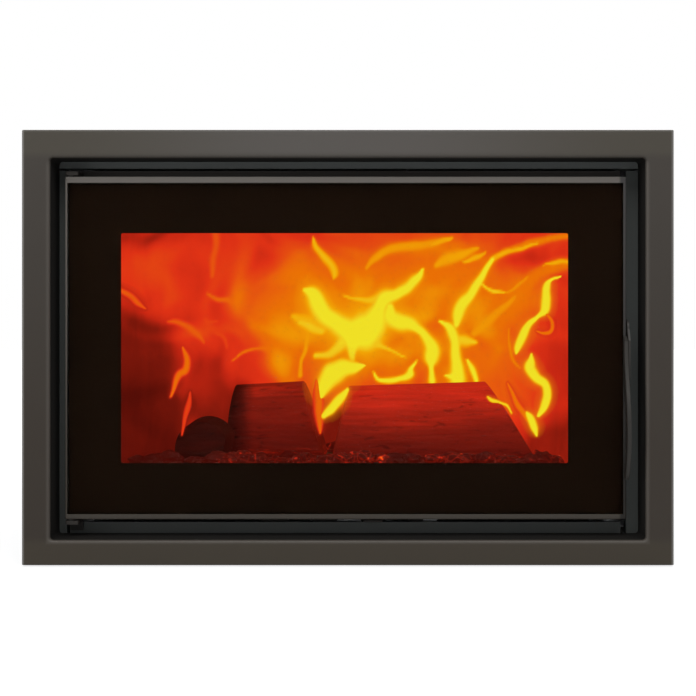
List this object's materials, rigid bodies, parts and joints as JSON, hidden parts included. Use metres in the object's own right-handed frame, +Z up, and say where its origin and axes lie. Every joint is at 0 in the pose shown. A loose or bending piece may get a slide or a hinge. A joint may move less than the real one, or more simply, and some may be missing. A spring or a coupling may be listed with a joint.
{
  "type": "fireplace insert",
  "caption": "Wood-burning fireplace insert: four-sided trim frame, deep recess, side-hung glass door with a side lever latch, brick-lined firebox, casing, flue collar and air inlet.",
  "frame": {"origin": "on the floor under the middle of the whole object's box, at the bottom of the levelling feet", "axes": "+X to the right as seen from in front, +Y back into the chimney breast, +Z up; the door looks along -Y"},
  "size_m": [0.78, 0.448, 0.54],
  "materials": {
    "trim_paint": "satin warm dark grey stove paint on folded sheet steel",
    "door_paint": "satin dark grey stove paint, lighter where the lips catch the light",
    "body_paint": "satin blue-grey stove paint",
    "stove_paint": "matt black high-temperature paint on steel plate",
    "zinc_sheet": "zinc-coated sheet steel with a faint spangle",
    "cast_iron": "black cast iron, as cast",
    "turned_steel": "bright turned steel",
    "lever_steel": "dark satin steel, bright on its worn edges",
    "fire_brick": "pressed vermiculite board, glowing orange and red by the fire",
    "rope_fibre": "braided glass-fibre rope and tape, dark grey",
    "glass": "clear ceramic glass with a wide black enamel border printed round a clear window",
    "charred_wood": "burning split logs, charred dark red-brown with glowing embers"
  },
  "bodies": {
    "insert": {"trim_frame": "trim_paint", "hinge_bracket_top": "door_paint", "hinge_bracket_bottom": "door_paint", "top_fascia": "body_paint", "jamb_left": "body_paint", "jamb_right": "body_paint", "bottom_plinth": "body_paint", "firebox_front": "stove_paint", "firebox_left_wall": "stove_paint", "firebox_right_wall": "stove_paint", "firebox_back": "stove_paint", "firebox_floor": "stove_paint", "firebox_roof": "stove_paint", "airwash_duct": "stove_paint", "airwash_riser_left": "stove_paint", "airwash_riser_right": "stove_paint", "baffle_upper": "stove_paint", "casing_top": "zinc_sheet", "casing_base": "zinc_sheet", "casing_left": "zinc_sheet", "casing_right": "zinc_sheet", "casing_back": "zinc_sheet", "trim_clip_lower_left": "zinc_sheet", "trim_clip_upper_left": "zinc_sheet", "trim_clip_lower_right": "zinc_sheet", "trim_clip_upper_right": "zinc_sheet", "support_rail_left": "zinc_sheet", "support_rail_right": "zinc_sheet", "rear_air_duct": "zinc_sheet", "air_box": "zinc_sheet", "air_inlet_spigot": "zinc_sheet", "ash_pan": "zinc_sheet", "flue_collar": "cast_iron", "grate": "cast_iron", "levelling_foot_front_left": "turned_steel", "levelling_foot_front_right": "turned_steel", "levelling_foot_rear_left": "turned_steel", "levelling_foot_rear_right": "turned_steel", "latch_catch_pin": "turned_steel", "side_brick_left": "fire_brick", "side_brick_right": "fire_brick", "back_brick_left": "fire_brick", "back_brick_right": "fire_brick", "floor_brick_left": "fire_brick", "floor_brick_right": "fire_brick", "baffle_lower": "fire_brick", "log_main": "charred_wood", "log_rear": "charred_wood", "log_left": "charred_wood"},
    "door": {"door_frame": "door_paint", "door_glass": "glass", "glass_gasket": "rope_fibre", "door_inner_frame": "stove_paint", "door_seal": "rope_fibre", "hinge_pin_top": "turned_steel", "hinge_pin_bottom": "turned_steel", "handle_pivot_pin": "turned_steel"},
    "handle": {"handle_grip": "lever_steel", "latch_plate": "lever_steel"},
    "air_control": {"air_slider": "stove_paint"}
  },
  "joints": [
    {"name": "door_hinge", "type": "hinge", "parent": "insert", "child": "door", "pos_m": [-0.3375, -0.187, 0.2607], "axis": [0, 0, -1], "range_deg": [0, 110]},
    {"name": "handle_lever", "type": "hinge", "parent": "door", "child": "handle", "pos_m": [0.33925, -0.184, 0.2841], "axis": [-1, 0, 0], "range_deg": [0, 35]},
    {"name": "air_slide", "type": "slide", "parent": "insert", "child": "air_control", "axis": [1, 0, 0], "range_m": [0, 0.03]}
  ]
}
